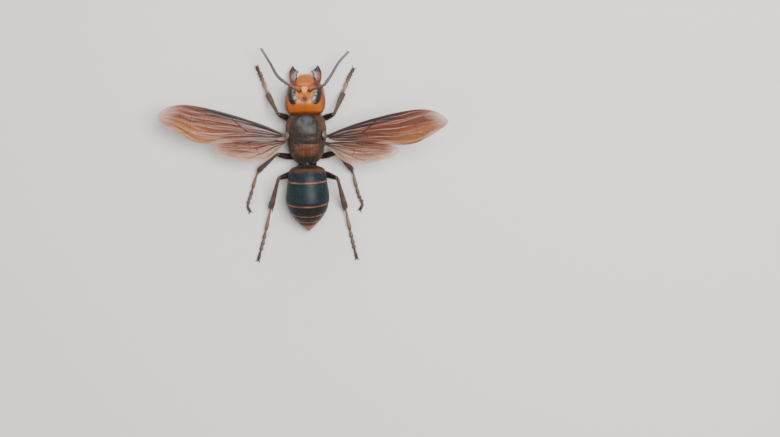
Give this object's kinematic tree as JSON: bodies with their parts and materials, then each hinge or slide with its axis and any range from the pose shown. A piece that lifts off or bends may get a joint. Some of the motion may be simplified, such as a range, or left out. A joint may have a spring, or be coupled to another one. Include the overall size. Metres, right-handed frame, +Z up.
{
  "type": "asian giant hornet",
  "caption": "Life-size giant hornet lying on its belly with wings spread, legs splayed, antennae forward and jaws open.",
  "frame": {"origin": "on the ground, in the middle of the flat under the gaster's second ring", "axes": "+Z up; the head points to -Y; +X is the insect's own left side, along the spread wings"},
  "size_m": [0.0746, 0.056, 0.0199],
  "materials": {
    "head_orange": "smooth hard skin, satin",
    "eye_black": "glossy black",
    "antenna_brown": "satin reddish brown skin",
    "antenna_grey": "dull grey-brown skin",
    "mandible_brown": "glossy red-brown skin with black teeth",
    "thorax_brown": "dark skin under short grey-brown hair",
    "scutellum_brown": "dull reddish brown skin",
    "gaster_black": "blue-black skin with thin orange-brown rear edges",
    "gaster_tip": "satin red-orange skin",
    "leg_dark": "dark brown skin",
    "tibia_brown": "brown skin with fine golden hair",
    "tarsus_brown": "yellow-brown skin with fine hair",
    "wing_amber": "thin amber-brown skin, darker at the leading edge"
  },
  "bodies": {
    "root": {"head": "head_orange", "eye_left": "eye_black", "eye_right": "eye_black", "antenna_left_scape": "antenna_brown", "antenna_left_flagellum": "antenna_grey", "antenna_right_scape": "antenna_brown", "antenna_right_flagellum": "antenna_grey", "mandible_left": "mandible_brown", "mandible_right": "mandible_brown", "mouthparts": "mandible_brown", "pronotum": "thorax_brown", "mesoscutum": "thorax_brown", "scutellum": "scutellum_brown", "metanotum": "scutellum_brown", "mesothorax": "thorax_brown", "propodeum": "thorax_brown", "tegula_left": "scutellum_brown", "tegula_right": "scutellum_brown", "gaster_1": "gaster_black", "gaster_2": "gaster_black", "gaster_3": "gaster_black", "gaster_4": "gaster_black", "gaster_5": "gaster_black", "gaster_6": "gaster_tip", "leg_front_left_coxa": "leg_dark", "leg_front_left_femur": "leg_dark", "leg_front_left_tibia": "tibia_brown", "leg_front_left_tarsus": "tarsus_brown", "leg_front_right_coxa": "leg_dark", "leg_front_right_femur": "leg_dark", "leg_front_right_tibia": "tibia_brown", "leg_front_right_tarsus": "tarsus_brown", "leg_middle_left_coxa": "leg_dark", "leg_middle_left_femur": "leg_dark", "leg_middle_left_tibia": "tibia_brown", "leg_middle_left_tarsus": "tarsus_brown", "leg_middle_right_coxa": "leg_dark", "leg_middle_right_femur": "leg_dark", "leg_middle_right_tibia": "tibia_brown", "leg_middle_right_tarsus": "tarsus_brown", "leg_hind_left_coxa": "leg_dark", "leg_hind_left_femur": "leg_dark", "leg_hind_left_tibia": "tibia_brown", "leg_hind_left_tarsus": "tarsus_brown", "leg_hind_right_coxa": "leg_dark", "leg_hind_right_femur": "leg_dark", "leg_hind_right_tibia": "tibia_brown", "leg_hind_right_tarsus": "tarsus_brown", "forewing_left": "wing_amber", "forewing_right": "wing_amber", "hindwing_left": "wing_amber", "hindwing_right": "wing_amber"}
  },
  "joints": []
}
